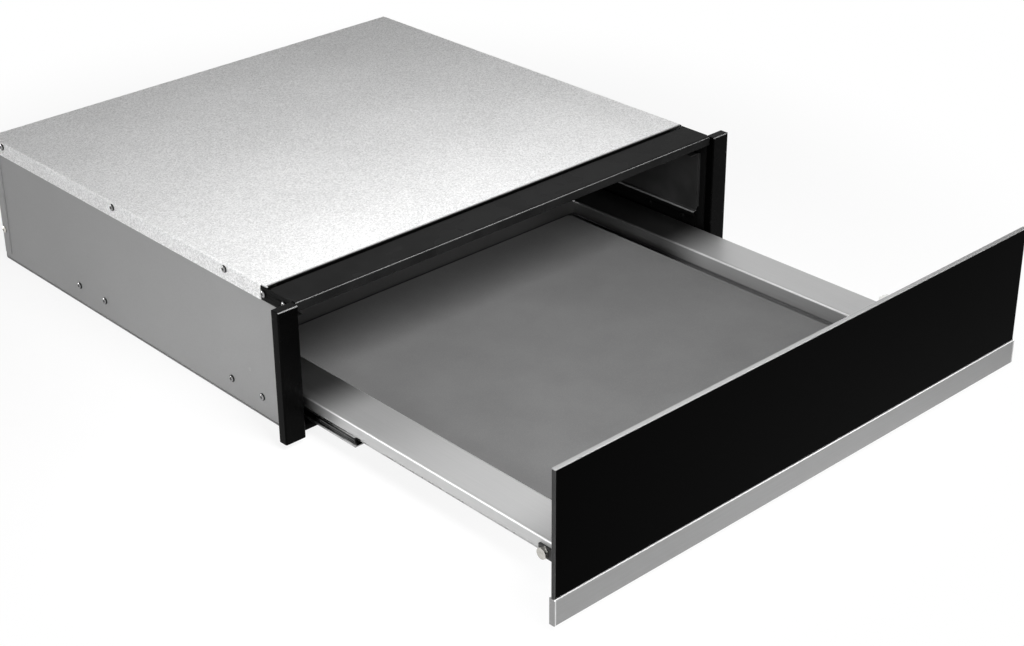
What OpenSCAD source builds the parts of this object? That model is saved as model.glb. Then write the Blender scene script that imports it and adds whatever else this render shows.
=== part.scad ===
// Built-in warming drawer of the 14 cm class, standing in its carcass frame with the drawer drawn out.
// X runs to the right, Y to the back and Z up. The origin is the middle of the case's underside.
// The drawer's pieces are laid out as if it were shut, and drawn_out() then moves them to the open
// rest pose.

/* [Case] */
// Width over the side panels
case_w = 532; // [520:1:560]
// Depth of the side panels, behind the plane of the front frame
case_d = 512; // [506:1:560]
// Height from the underside to the top cover
case_h = 140; // [138:1:150]
// Thickness of the galvanised sheet
sheet_t = 1; // [0.8:0.1:1.2]
// Inner radius of a fold in thin sheet
bend_r = 0.8; // [0.5:0.1:1]
// Width of the flanges folded along the panels
flange_w = 12; // [10:0.5:13]
// Height of the top cover's side flanges
cover_flange_h = 16; // [15:0.5:18]
// Width of the rear panel's wraps round the sides
wrap_w = 12.5; // [11:0.5:14]
// Distance from the frame plane back to the floor's front lip
floor_set = 12; // [11:0.5:14]
// Height of the floor's front lip
floor_lip_h = 13; // [11:0.5:13.5]
// Radius of the four fixing holes in the floor
fix_hole_r = 2.25; // [1.75:0.25:3]
// Distance between the fixing holes across the case
fix_span_x = 380; // [340:5:400]
// Distance between the fixing holes front to back
fix_span_y = 340; // [300:5:350]
// Height of the beads pressed in the floor
bead_h = 1.5; // [1:0.1:2]

/* [Front frame] */
// Thickness of the black frame's sheet
frame_t = 1.2; // [1:0.1:1.4]
// Depth of the top beam behind the frame plane
beam_d = 33; // [30:1:36]
// How far the top beam stands in front of the frame plane
beam_out = 5.5; // [4:0.5:7]
// Height of the top beam's front lip
beam_lip_h = 10; // [8:0.5:11]
// Height of the top beam's rear flange
beam_rear_h = 18.5; // [16:0.5:19]
// Step from the cover's top down to the beam's top
beam_step = 1.5; // [1.2:0.1:2]
// Length of the beam's end tabs along the sides
tab_l = 43; // [40:1:46]
// Height of the beam's end tabs
tab_h = 14; // [12:0.5:14.5]
// Depth of the sill plate
sill_d = 21; // [20:0.5:22]
// How far the sill stands in front of the frame plane
sill_out = 4; // [3:0.5:6]
// Height of the sill's front lip
sill_lip_h = 5.2; // [4:0.1:6]
// Height of the sill's end tabs
sill_tab_h = 16; // [12:0.5:18]
// Width of a post
post_w = 22; // [20:0.5:24]
// Depth of a post in front of the frame plane
post_d = 10; // [9:0.5:12]
// Height of the posts' lower ends above the case's underside
post_z = 6.3; // [5:0.1:8]
// Step from the cover's top down to the posts' upper ends
post_step = 2; // [1.6:0.1:3]
// Radius of the posts' front edges
post_edge_r = 1.6; // [1.3:0.1:2.5]

/* [Cavity liner] */
// Distance from the side panel's outer face to the liner's outer face
liner_gap = 4; // [3:0.5:5]
// Height of the liner walls' lower edges
liner_z = 34; // [33:0.5:38]
// Height of the liner's ceiling
liner_top = 118; // [112:1:119]
// Distance from the frame plane to the liner's back wall
liner_d = 482; // [480:1:484]
// Distance from the frame plane to the liner walls' front edges
liner_set = 6; // [5:0.5:8]
// Lower edge of the rib pressed in the liner walls
rib_z = 48.5; // [46:0.5:52]
// Height of that rib
rib_h = 4.5; // [4:0.5:6]
// How far that rib stands out from the wall
rib_out = 4; // [3:0.5:4.5]
// Thickness of the insulation above the liner
mat_wool_t = 17.5; // [12:0.5:18]

/* [Front panel] */
// How far the glass front stands past the case on each side
front_over = 31; // [29:0.5:32]
// Height of the stainless trim's lower edge
front_z = 5.5; // [4:0.5:7]
// Height of the stainless trim
trim_h = 24.5; // [20:0.5:28]
// Depth of the trim at its ends
trim_d = 6; // [5:0.5:7]
// How far the trim stands proud of the glass
trim_out = 1; // [0.5:0.1:1.5]
// Height of the glass
glass_h = 115; // [110:1:118]
// Thickness of the glass
glass_t = 4; // [3:0.5:5]
// Width of the polished chamfer round the glass's front
glass_chamfer = 0.6; // [0.3:0.1:1]
// Distance from the case's outer side to the side of the carrier behind the glass
carrier_set = 8; // [6:0.5:12]
// Height of the carrier's lower edge
carrier_z = 16; // [15:0.5:18]
// Height of the carrier
carrier_h = 108; // [100:1:110]
// Depth of the carrier
carrier_d = 14; // [12:0.5:16]
// Gap from the glass to the posts when the drawer is shut
shut_gap = 4.5; // [4:0.1:5.5]

/* [Tray] */
// Length of the tray
tray_l = 476; // [460:1:476]
// Distance from the case's outer side to the tray's side flange
tray_gap = 10.5; // [10:0.5:12]
// Width of the tray's side flanges
rim_w = 43.5; // [42:0.5:46]
// Height of the tray floor's underside
tray_z = 21; // [20:0.5:22]
// Height of the tray's rim
rim_z = 39; // [37:0.5:42]
// Thickness of the tray's steel
tray_t = 1; // [0.8:0.1:1.2]
// Inner radius of the tray's folds
tray_bend_r = 1.5; // [1:0.1:2]
// Width of the return fold that sits on the runner
return_w = 23.5; // [20:0.5:25]
// Thickness of the anti-slip mat
mat_t = 2; // [1.5:0.1:3]
// Gap round the mat
mat_gap = 7.5; // [5:0.5:12]

/* [Runners] */
// Width of the cabinet member
rail_w = 35; // [34:0.5:36]
// Height of the cabinet member's underside
rail_z = 13; // [12:0.1:13]
// Thickness of the runner's steel
rail_t = 1; // [0.8:0.1:1]
// Diameter of a ball
ball_d = 3.2; // [3:0.1:3.2]
// Gap between a ball and its raceway
play = 0.3; // [0.25:0.01:0.35]
// Thickness of the ball cages
cage_t = 0.6; // [0.5:0.1:0.6]
// Half the angle that a raceway grips a ball by
grip_a = 55; // [50:1:60]
// Distance from the frame plane to the cabinet member's front end
rail_set = 54; // [53.5:0.5:56]
// Length of the cabinet member
rail_l = 401; // [396:1:404]
// Length of the middle member
mid_l = 346; // [338:1:346]
// Length of the drawer member
slide_l = 447; // [430:1:450]
// Length of the lower ball cages
low_cage_l = 186; // [150:2:188]
// Length of the upper ball cages
top_cage_l = 126; // [100:2:128]
// Balls in a row of the lower cage
low_balls = 9; // [4:1:12]
// Balls in a row of the upper cage
top_balls = 7; // [4:1:9]
// Distance from the tray's outer face to the runner's middle
runner_inset = 14.5; // [14.4:0.1:15]
// Length of a runner bracket
bracket_l = 70; // [60:1:80]
// Thickness of a runner bracket
bracket_t = 1.5; // [1.2:0.1:1.5]
// Height of a runner bracket's upper edge
bracket_top = 33; // [28:0.5:33]

/* [Motion] */
// How far the drawer is drawn out in the rest pose
open_out = 338.5; // [320:0.5:340]
// How far the front goes in past shut to work the catch
press_in = 3; // [2:0.1:3]

/* [Catch] */
// Width of the catch housing
catch_w = 48; // [44:1:60]
// Length of the catch housing
catch_l = 36; // [34:1:40]
// Height of the catch housing's walls
catch_h = 16; // [14:0.5:17]
// Radius of the striker pin
striker_r = 2.5; // [2:0.1:2.8]
// Distance from the frame plane to the striker when shut
striker_y = 450.5; // [448:0.5:452]
// Angle that the hook swings through to latch
hook_swing = 45; // [40:1:50]

/* [Heating] */
// Height of the fan's axis
fan_z = 74; // [72:1:78]
// Radius of the impeller
fan_r = 27; // [22:1:28]
// Depth of the impeller
fan_d = 8; // [6:0.5:9]
// Blades on the impeller
fan_blades = 18; // [8:1:24]
// Radius of the heater ring
heater_r = 33.5; // [32:0.5:34]
// Radius of the heater's tube
heater_tube_r = 2.8; // [2:0.1:3]
// Width of the air duct behind the liner
duct_w = 430; // [380:2:440]
// Height of the air duct
duct_h = 80; // [76:1:82]
// Depth of the air duct
duct_d = 14; // [13:0.5:15]
// Radius of the fan motor
motor_r = 22; // [18:1:26]
// Length of the fan motor
motor_l = 10.5; // [9:0.5:12]
// Radius of the cable's bore in the gland
cord_r = 4.2; // [3:0.1:5]

/* [Controls] */
// Width of the control housing
control_w = 86; // [80:1:100]
// Depth of the control housing
control_d = 37; // [34:1:42]
// Height of the control housing
control_h = 46; // [42:1:48]
// Height of the control housing's underside
control_z = 46; // [43:1:48]
// Radius of the thermostat knob
knob_r = 13; // [10:0.5:14]
// Height of the thermostat knob
knob_h = 14; // [10:0.5:16]
// Angle between the rocker's two positions
rocker_a = 12; // [8:1:14]

/* [Fasteners] */
// Radius of a sheet screw's shank
screw_r = 1.7; // [1.5:0.1:2]
// Radius of a sheet screw's head
screw_head_r = 3.6; // [3:0.1:4]
// Height of a sheet screw's head
screw_head_h = 1.8; // [1.4:0.1:2.2]
// Width across the front bolts' hexagon
bolt_flats = 10; // [9:0.5:10.5]
// Radius of the front bolts' shank
bolt_r = 3; // [2.5:0.1:3.2]

/* [Hidden] */
$fn = 48;

half_w = case_w / 2;
front_y = -case_d / 2;
rear_y = case_d / 2;
cut = 1.5;
fit = 0.05;
bend_steps = 4;
gap = 0.3;

// Places of repeated fasteners, as shares of the side or face that they sit on
cover_screw_shares = [0.19, 0.549, 0.955];
bracket_shares = [0.150, 0.663];
wrap_screw_shares = [0.25, 0.72];
post_screw_shares = [0.12, 0.5, 0.88];
pip_shares = [-0.3, 0.3];
rear_top_screw_shares = [-0.8, 0, 0.8];
sill_screw_shares = [-0.7, 0, 0.7];
liner_screw_shares = [0.048, 0.138];
slide_pip_shares = [0.06, 0.5, 0.94];

screw_hole_r = screw_r + fit;
cover_screw_z = case_h - 5 * sheet_t;
bracket_screw_gap = 47;
side_screw_z = 21;
tab_screw_shares = [0.2, 0.9];
tab_screw_z = case_h - beam_step - tab_h / 2;
beam_top = case_h - beam_step;
sill_top = floor_lip_h + frame_t;

wool_w = case_w - 3 * flange_w;
liner_x = half_w - liner_gap;
liner_back_y = front_y + liner_d;
liner_screw_z = rib_z - 1.6 * screw_head_r;
bush_r = 3.6;

front_w = case_w + 2 * front_over;
carrier_w = case_w - 2 * carrier_set;
tray_over = case_w - 2 * tray_gap;
tray_w = tray_over - 2 * rim_w;
glass_back_y = front_y - post_d - shut_gap;
glass_z = front_z + trim_h;
carrier_back_y = glass_back_y + carrier_d;
tray_y = carrier_back_y + sheet_t;
tray_half = tray_over / 2;

// Runner section, measured from the runner's middle line
ball_r = ball_d / 2;
race_r = ball_r + play;
race_in = race_r * cos(grip_a);
race_rise = (race_r + rail_t) * sin(grip_a);
runner_x = tray_half - runner_inset;
front_plate_t = 2;
low_ball_x = rail_w / 2 - race_r - rail_t;
top_ball_x = low_ball_x - 2 * race_in - rail_t;
mid_z = rail_z + rail_t + play + cage_t + play;
low_ball_z = mid_z + rail_t + race_rise + play / 2;
top_ball_z = low_ball_z + 2 * race_rise + play;
runner_top = top_ball_z + race_rise + play;
slide_web_z = runner_top - rail_t;
cage_web_z = top_ball_z - race_rise - play - cage_t;
rail_y = front_y + rail_set;
mid_y = front_y + rail_set + 50;
slide_y = tray_y + front_plate_t + screw_head_h + 3 * gap;
low_cage_y = rail_y + rail_l * 0.256;
top_cage_y = rail_y + rail_l * 0.3845;
stop_t = 1.5;
race_steps = 8;
wall_a = acos((race_in + rail_t) / (race_r + rail_t));
slide_a = asin((slide_web_z - top_ball_z) / (race_r + rail_t));
pip_r = 2.5;

// Front bracket and its bolt
front_plate_l = 40;
front_plate_z = 23;
front_plate_h = 10.5;
front_leg_z = 15;
bolt_y = tray_y + 33;
bolt_z = 28.5;
bolt_head_h = 4;
nut_h = 3;

duct_t = 0.8;
duct_rim = 8;
fan_y = liner_back_y + sheet_t + 3 * sheet_t;
shaft_r = 1.5;
hub_r = 6;
gland_x = -half_w * 0.75;
gland_z = 22;
gland_hole_r = cord_r + 4 * sheet_t;
heater_end_a = 30;
ferrule_r = heater_tube_r * 1.3;

control_t = 2;
control_x = carrier_w / 4;
control_top = control_z + control_h;
control_mid_y = tray_y + control_d / 2;
knob_x = control_x + control_w * 0.27;
lamp_x = control_x + control_w * 0.53;
rocker_x = control_x + control_w * 0.79;
bush_h = 3;
bush_out_r = 5;
stem_r = 3;
lamp_r = 3;
switch_w = 13;
switch_d = 20;
switch_h = 16;
bezel = 1.6;
bezel_t = 1.5;
rocker_pin_r = 1.2;
rocker_z = control_top + sheet_t / 2;

// Hook of the catch
hook_x = catch_w * 0.3;
hook_y = front_y + striker_y + 2;
hook_post_r = 2;
hook_t = 4;
hook_z = 3 * sheet_t + hook_post_r;

galvanised = [0.72, 0.73, 0.74];
black_paint = [0.09, 0.09, 0.1];
steel = [0.78, 0.78, 0.76];
zinc = [0.66, 0.67, 0.68];
rubber = [0.16, 0.17, 0.18];
black_glass = [0.02, 0.02, 0.02];
dark_plastic = [0.12, 0.12, 0.13];

// Outline of a folded sheet: the path is one face, and the thickness lies to its left
function unit(v) = v / norm(v);
function left_of(v) = [-v[1], v[0]];
function turned(v, a) = [v[0] * cos(a) - v[1] * sin(a), v[0] * sin(a) + v[1] * cos(a)];
function turn_angle(a, b) = atan2(a[0] * b[1] - a[1] * b[0], a * b);

function bend(p, i, t, r, far) =
    let (
        n1 = left_of(unit(p[i] - p[i - 1])),
        n2 = left_of(unit(p[i + 1] - p[i])),
        a = turn_angle(n1, n2),
        side = sign(a),
        near_r = side > 0 ? r + t : r,
        face_r = far ? near_r - side * t : near_r,
        centre = p[i] + side * near_r * (n1 + n2) / (1 + n1 * n2)
    )
    [for (k = [0:bend_steps]) centre - side * face_r * turned(n1, a * k / bend_steps)];

function face(p, t, r, far) =
    let (
        last = len(p) - 1,
        first_shift = far ? t * left_of(unit(p[1] - p[0])) : [0, 0],
        last_shift = far ? t * left_of(unit(p[last] - p[last - 1])) : [0, 0]
    )
    concat(
        [p[0] + first_shift],
        [for (i = [1:last - 1]) each bend(p, i, t, r, far)],
        [p[last] + last_shift]
    );

function folded(p, t, r) =
    let (
        near = face(p, t, r, false),
        far = face(p, t, r, true)
    )
    concat(near, [for (i = [len(far) - 1:-1:0]) far[i]]);

// Draws an outline of y and z from x0 to x1, or one of x and z from y0 to y1
module run_x(x0, x1) translate([x0, 0, 0]) rotate([90, 0, 90]) linear_extrude(x1 - x0) children();
module run_y(y0, y1) translate([0, y1, 0]) rotate([90, 0, 0]) linear_extrude(y1 - y0) children();
module run_z(z0, z1) translate([0, 0, z0]) linear_extrude(z1 - z0) children();
module block(a, b) translate(a) cube(b - a);
module along_x() rotate([0, 90, 0]) children();
module along_y() rotate([-90, 0, 0]) children();
module on_left() mirror([1, 0, 0]) children();
module both_sides() {
    children();
    on_left() children();
}

// A share of 1 moves a piece all the way out with the drawer
module drawn_out(share) translate([0, -open_out * share, 0]) children();

// A slot with round ends, centred, its length along x
module slot(l, w) {
    square([l - w, w], center = true);
    for (side = [-1, 1]) translate([side * (l - w) / 2, 0]) circle(w / 2);
}

// A sheet screw that points down, its head's seat at the origin
module sheet_screw(l) {
    head_share = 0.45;
    slot_w = screw_r / 2;
    difference() {
        union() {
            cylinder(screw_head_h * head_share, screw_head_r, screw_head_r);
            translate([0, 0, screw_head_h * head_share])
                cylinder(screw_head_h * (1 - head_share), screw_head_r, screw_head_r * (1 - head_share));
        }
        for (a = [0, 90]) rotate([0, 0, a]) translate([0, 0, screw_head_h])
            cube([2 * screw_r, slot_w, screw_head_h], center = true);
    }
    translate([0, 0, -l]) cylinder(l, screw_r, screw_r);
}

// Sheet screws seen from the right, left or rear of the case
module side_screw(x, y, z, l) translate([x, y, z]) along_x() sheet_screw(l);
module rear_screw(x, y, z, l) translate([x, y, z]) along_y() sheet_screw(l);
module hole_x(x, y, z, r) translate([x, y, z]) along_x() cylinder(4 * flange_w, r, r, center = true);
module hole_y(x, y, z, r) translate([x, y, z]) along_y() cylinder(4 * flange_w, r, r, center = true);

function cover_screw_y(share) = front_y + case_d * share;
function bracket_y(share) = front_y + case_d * share;
function wrap_screw_z(share) = case_h * share;
function liner_screw_y(share) = front_y + case_d * share;
function post_screw_z(share) = post_z + (case_h - post_step - post_z) * share;

module bracket_screw_places() {
    for (share = bracket_shares, side = [-1, 1])
        translate([0, bracket_y(share) + side * bracket_screw_gap / 2, side_screw_z]) children();
}

// Floor with a lip and return in front, pressed beads, fixing holes and air slots at the rear
module base_panel() {
    bead_l = case_w * 0.62;
    bead_w = 3 * flange_w;
    bead_shares = [-0.26, -0.06, 0.14];
    slot_w = flange_w / 2;
    slots = 7;
    slot_pitch = 2 * slot_w;
    y0 = front_y + floor_set;
    rear_half = half_w - 2 * flange_w;
    path = [
        [front_y + sill_d, floor_lip_h],
        [y0, floor_lip_h],
        [y0, 0],
        [rear_y - 2 * flange_w, 0]
    ];
    color(galvanised) {
        difference() {
            union() {
                run_x(-half_w + sheet_t, half_w - sheet_t) polygon(folded(path, sheet_t, bend_r));
                block([-half_w, front_y + 2 * flange_w, 0], [half_w, rear_y, sheet_t]);
                block([-rear_half, rear_y - sheet_t, 0], [rear_half, rear_y, flange_w]);
            }
            for (x = [-1, 1], y = [-1, 1])
                translate([x * fix_span_x / 2, y * fix_span_y / 2, -cut])
                    cylinder(sheet_t + 2 * cut, fix_hole_r, fix_hole_r);
            for (share = bead_shares) translate([0, case_d * share, 0])
                run_z(-cut, sheet_t + cut) slot(bead_l - 2 * sheet_t, bead_w - 2 * sheet_t);
            for (x = [-1, 1], k = [0:slots - 1])
                translate([x * half_w / 2 + (k - (slots - 1) / 2) * slot_pitch, rear_y - 2 * flange_w, 0])
                    rotate([0, 0, 90]) run_z(-cut, sheet_t + cut) slot(2 * flange_w, slot_w);
            for (share = sill_screw_shares)
                translate([share * half_w, front_y + (floor_set + sill_d) / 2, 0])
                    run_z(floor_lip_h - 2 * sheet_t, floor_lip_h + cut) circle(screw_hole_r);
        }
        for (share = bead_shares) translate([0, case_d * share, 0]) difference() {
            run_z(0, sheet_t + bead_h) slot(bead_l, bead_w);
            run_z(-cut, bead_h) slot(bead_l - 2 * sheet_t, bead_w - 2 * sheet_t);
        }
    }
}

// Side panel with inward flanges above and below, and an outward flange behind the post
module side_panel() {
    beam_notch = beam_d + 3 * sheet_t;
    path = [
        [half_w - flange_w, sheet_t],
        [half_w, sheet_t],
        [half_w, case_h - sheet_t],
        [half_w - flange_w, case_h - sheet_t]
    ];
    color(galvanised) difference() {
        union() {
            run_y(front_y, rear_y - bend_r) polygon(folded(path, sheet_t, bend_r));
            block(
                [half_w - sheet_t, front_y - sheet_t, post_z + frame_t + sheet_t],
                [half_w + post_w - frame_t - fit, front_y, case_h - post_step - 2 * frame_t]
            );
            block(
                [half_w - flange_w, rear_y - sheet_t, 2 * flange_w],
                [half_w - bend_r, rear_y, case_h - flange_w]
            );
        }
        block(
            [half_w - 2 * flange_w, front_y - cut, beam_top - frame_t],
            [half_w + cut, front_y + beam_notch, case_h]
        );
        for (share = cover_screw_shares) hole_x(half_w, cover_screw_y(share), cover_screw_z, screw_hole_r);
        for (share = tab_screw_shares) hole_x(half_w, front_y + tab_l * share, tab_screw_z, screw_hole_r);
        for (share = wrap_screw_shares)
            hole_x(half_w, rear_y - wrap_w / 3, wrap_screw_z(share), screw_hole_r);
        for (share = post_screw_shares)
            hole_y(half_w + post_w / 2, front_y, post_screw_z(share), screw_hole_r);
        for (share = liner_screw_shares) hole_x(half_w, liner_screw_y(share), liner_screw_z, screw_hole_r);
        translate([half_w, 0, 0]) bracket_screw_places() along_x()
            cylinder(2 * cut + sheet_t, screw_hole_r, screw_hole_r, center = true);
        block(
            [half_w - flange_w - cut, front_y - cut, 0],
            [half_w - sheet_t, front_y + floor_set + sill_d, floor_lip_h]
        );
    }
}

module left_side_panel() on_left() side_panel();
module right_side_panel() side_panel();

// Top cover, a shallow hood whose flanges are notched in front for the beam's end tabs
module top_cover() {
    x1 = half_w + sheet_t;
    path = [
        [x1, case_h - cover_flange_h],
        [x1, case_h],
        [-x1, case_h],
        [-x1, case_h - cover_flange_h]
    ];
    color(galvanised) difference() {
        union() {
            run_y(front_y + beam_d + sheet_t, rear_y + 2 * sheet_t) polygon(folded(path, sheet_t, bend_r));
            block(
                [-half_w, rear_y + sheet_t, case_h - flange_w],
                [half_w, rear_y + 2 * sheet_t, case_h - sheet_t / 2]
            );
        }
        both_sides() block(
            [half_w, front_y, case_h - cover_flange_h - cut],
            [half_w + sheet_t + cut, front_y + tab_l + sheet_t, case_h + cut]
        );
        both_sides() for (share = cover_screw_shares)
            hole_x(half_w, cover_screw_y(share), cover_screw_z, screw_hole_r);
        for (share = rear_top_screw_shares)
            translate([share * half_w, rear_y, case_h - flange_w / 2]) along_y()
                cylinder(4 * cut, screw_hole_r, screw_hole_r);
    }
}

// Rear panel with wraps round the side panels, louvres and the cable's gland
module rear_panel() {
    x1 = half_w + sheet_t;
    y1 = rear_y + sheet_t;
    wrap_z0 = 8 * sheet_t;
    wrap_z1 = case_h - cover_flange_h;
    louvre_l = 70;
    louvre_r = 5;
    louvre_pitch = 12;
    louvre_rows = 6;
    louvre_x_shares = [0.22, 0.6];
    louvre_z = case_h * 0.55;
    path = [[x1, y1 - wrap_w], [x1, y1], [-x1, y1], [-x1, y1 - wrap_w]];
    module louvre_places() {
        for (side = [-1, 1], share = louvre_x_shares, k = [0:louvre_rows - 1])
            translate([side * share * half_w, y1, louvre_z + (k - (louvre_rows - 1) / 2) * louvre_pitch])
                children();
    }
    color(galvanised) {
        difference() {
            union() {
                run_z(wrap_z0, wrap_z1) polygon(folded(path, sheet_t, bend_r));
                block([-half_w, rear_y, sheet_t / 2], [half_w, y1, case_h - sheet_t]);
            }
            louvre_places() translate([-louvre_l / 2 + sheet_t, -cut - sheet_t, -louvre_r + sheet_t])
                cube([louvre_l - 2 * sheet_t, sheet_t + 2 * cut, louvre_r - 2 * sheet_t]);
            translate([gland_x, rear_y, gland_z]) along_y()
                cylinder(4 * cut, gland_hole_r, gland_hole_r, center = true);
            for (share = rear_top_screw_shares)
                hole_y(share * half_w, rear_y, case_h - flange_w / 2, screw_hole_r);
            both_sides() for (share = wrap_screw_shares)
                hole_x(half_w, rear_y - wrap_w / 3, wrap_screw_z(share), screw_hole_r);
        }
        louvre_places() difference() {
            run_x(-louvre_l / 2, louvre_l / 2) intersection() {
                circle(louvre_r);
                translate([0, -louvre_r]) square(louvre_r);
            }
            run_x(-louvre_l / 2 + sheet_t, louvre_l / 2 - sheet_t) circle(louvre_r - sheet_t);
        }
    }
}

// Black top beam: lip and return in front, flange behind, and a top that folds down over each side panel
module frame_top_beam() {
    x1 = half_w - sheet_t - fit;
    y0 = front_y - beam_out;
    y1 = front_y + beam_d;
    path = [
        [y1, beam_top - beam_rear_h],
        [y1, beam_top],
        [y0, beam_top],
        [y0, beam_top - beam_lip_h],
        [y0 + beam_lip_h, beam_top - beam_lip_h]
    ];
    color(black_paint) difference() {
        union() {
            run_x(-x1, x1) polygon(folded(path, frame_t, bend_r));
            both_sides() block(
                [x1 - frame_t, front_y, beam_top - frame_t],
                [half_w + frame_t, y1 - 3 * frame_t, beam_top]
            );
            both_sides() block(
                [half_w + fit, front_y, beam_top - tab_h],
                [half_w + frame_t, front_y + tab_l, beam_top]
            );
        }
        both_sides() for (share = tab_screw_shares)
            hole_x(half_w + flange_w, front_y + tab_l * share, tab_screw_z, screw_hole_r);
    }
}

// Black sill that rests on the floor's front return
module frame_sill() {
    x1 = half_w - sheet_t;
    path = [
        [front_y + sill_d, sill_top],
        [front_y - sill_out, sill_top],
        [front_y - sill_out, sill_top - sill_lip_h]
    ];
    color(black_paint) difference() {
        union() {
            run_x(-x1, x1) polygon(folded(path, frame_t, bend_r));
            both_sides() block(
                [x1 - frame_t, front_y + frame_t, sill_top - frame_t],
                [x1, front_y + sill_d - frame_t, sill_top + sill_tab_h]
            );
        }
        for (share = sill_screw_shares)
            translate([share * half_w, front_y + (floor_set + sill_d) / 2, 0])
                run_z(sill_top - 2 * frame_t, sill_top + cut) circle(screw_hole_r);
    }
}

// Post: a capped channel with rounded front edges, open behind
module post() {
    top = case_h - post_step;
    module outline(w, d, r) {
        translate([r, 0]) square([w - 2 * r, d]);
        translate([0, r]) square([w, d - r]);
        for (x = [r, w - r]) translate([x, r]) circle(r);
    }
    color(black_paint) difference() {
        translate([half_w, front_y - post_d, 0]) run_z(post_z, top) outline(post_w, post_d, post_edge_r);
        translate([half_w + frame_t, front_y - post_d + frame_t, 0])
            run_z(post_z + frame_t, top - frame_t)
                outline(post_w - 2 * frame_t, post_d + frame_t, post_edge_r - frame_t / 2);
        block(
            [half_w - cut, front_y - sheet_t, post_z + frame_t],
            [half_w + 2 * frame_t, front_y + cut, top - frame_t]
        );
    }
}

module left_post() on_left() post();
module right_post() post();

// Liner wall with a pressed rib that keeps the tray's flange down
module liner_wall() {
    path = [
        [liner_x, liner_z],
        [liner_x, rib_z],
        [liner_x - rib_out, rib_z],
        [liner_x - rib_out, rib_z + rib_h],
        [liner_x, rib_z + rib_h],
        [liner_x, liner_top],
        [liner_x - flange_w, liner_top]
    ];
    y0 = front_y + liner_set;
    color(black_paint) difference() {
        union() {
            run_y(y0, liner_back_y) polygon(folded(path, sheet_t, bend_r));
            block(
                [liner_x - sheet_t / 2, y0, rib_z + 2 * rib_h],
                [half_w - sheet_t, y0 + sheet_t, liner_top - sheet_t]
            );
        }
        for (share = liner_screw_shares) hole_x(liner_x, liner_screw_y(share), liner_screw_z, screw_hole_r);
    }
}

module left_liner_wall() on_left() liner_wall();
module right_liner_wall() liner_wall();

module liner_ceiling() {
    y0 = front_y + beam_d;
    path = [
        [y0, beam_top - beam_rear_h + flange_w],
        [y0, liner_top],
        [liner_back_y + sheet_t, liner_top]
    ];
    color(black_paint) run_x(-liner_x, liner_x) polygon(folded(path, sheet_t, bend_r));
}

// Back wall with a round grille of slots for the fan and outlet slots to each side
module liner_back() {
    rings = 3;
    slots_in_ring = 8;
    grille_slot_w = 4;
    ring_pitch = 2 * grille_slot_w;
    slot_share = 0.6;
    outlet_l = 34;
    outlet_rows = 4;
    outlet_columns = 3;
    foot_half = half_w - 2 * flange_w;
    path = [
        [liner_back_y, liner_top],
        [liner_back_y, sheet_t],
        [liner_back_y + flange_w, sheet_t]
    ];
    module grille() {
        circle(grille_slot_w);
        for (ring = [1:rings], k = [0:slots_in_ring - 1])
            rotate(k * 360 / slots_in_ring + ring * 180 / slots_in_ring)
                translate([0, (ring + 1) * ring_pitch])
                    slot(2 * PI * (ring + 1) * ring_pitch * slot_share / slots_in_ring, grille_slot_w);
    }
    color(black_paint) difference() {
        run_x(-liner_x, liner_x) polygon(folded(path, sheet_t, bend_r));
        both_sides() block(
            [foot_half, liner_back_y - cut, 0],
            [half_w, liner_back_y + 2 * flange_w, 4 * sheet_t]
        );
        translate([0, 0, fan_z]) run_y(liner_back_y - cut, liner_back_y + sheet_t + cut) grille();
        for (side = [-1, 1], i = [0:outlet_columns - 1], k = [0:outlet_rows - 1])
            translate([
                side * (duct_w / 2 - outlet_l * (1 + 1.3 * i)),
                0,
                fan_z + (k - (outlet_rows - 1) / 2) * 3 * grille_slot_w
            ]) run_y(liner_back_y - cut, liner_back_y + sheet_t + cut) slot(outlet_l, grille_slot_w);
    }
}

module insulation_mat() {
    z0 = liner_top + sheet_t;
    edge_r = 4;
    y0 = front_y + beam_d + flange_w / 2;
    y1 = liner_back_y - sheet_t;
    color([0.85, 0.84, 0.8]) run_y(y0, y1) translate([-wool_w / 2, z0]) difference() {
        square([wool_w, mat_wool_t]);
        for (x = [0, wool_w]) translate([x, mat_wool_t]) rotate(45) square(edge_r, center = true);
    }
}

// Air duct behind the liner, holding the heater and the impeller
module air_duct() {
    y0 = liner_back_y + sheet_t;
    y1 = y0 + duct_d;
    module rim(w, h) translate([0, fan_z]) square([w, h], center = true);
    color(galvanised) difference() {
        union() {
            run_y(y0, y0 + duct_t) rim(duct_w + 2 * duct_rim, duct_h + 2 * duct_t);
            run_y(y0, y1) rim(duct_w, duct_h);
        }
        run_y(y0 - cut, y1 - duct_t) rim(duct_w - 2 * duct_t, duct_h - 2 * duct_t);
        translate([0, y1, fan_z]) along_y() cylinder(4 * cut, 2 * shaft_r, 2 * shaft_r, center = true);
        for (side = [-1, 1])
            translate([side * heater_r * sin(heater_end_a), y1, fan_z - heater_r * cos(heater_end_a)])
            along_y() cylinder(4 * cut, ferrule_r + fit, ferrule_r + fit, center = true);
    }
}

// Tubular heater bent round the impeller, its two ends through the duct's back
module heater_ring() {
    y = fan_y + fan_d / 2;
    tail_l = liner_back_y + duct_d + flange_w / 2 - y;
    color([0.35, 0.33, 0.31]) translate([0, y, fan_z]) {
        rotate([90, 0, 0]) rotate([0, 0, heater_end_a - 90])
            rotate_extrude(angle = 360 - 2 * heater_end_a) translate([heater_r, 0]) circle(heater_tube_r);
        for (side = [-1, 1])
            translate([side * heater_r * sin(heater_end_a), -ferrule_r, -heater_r * cos(heater_end_a)])
                along_y() cylinder(tail_l + ferrule_r, ferrule_r, ferrule_r);
    }
}

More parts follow.
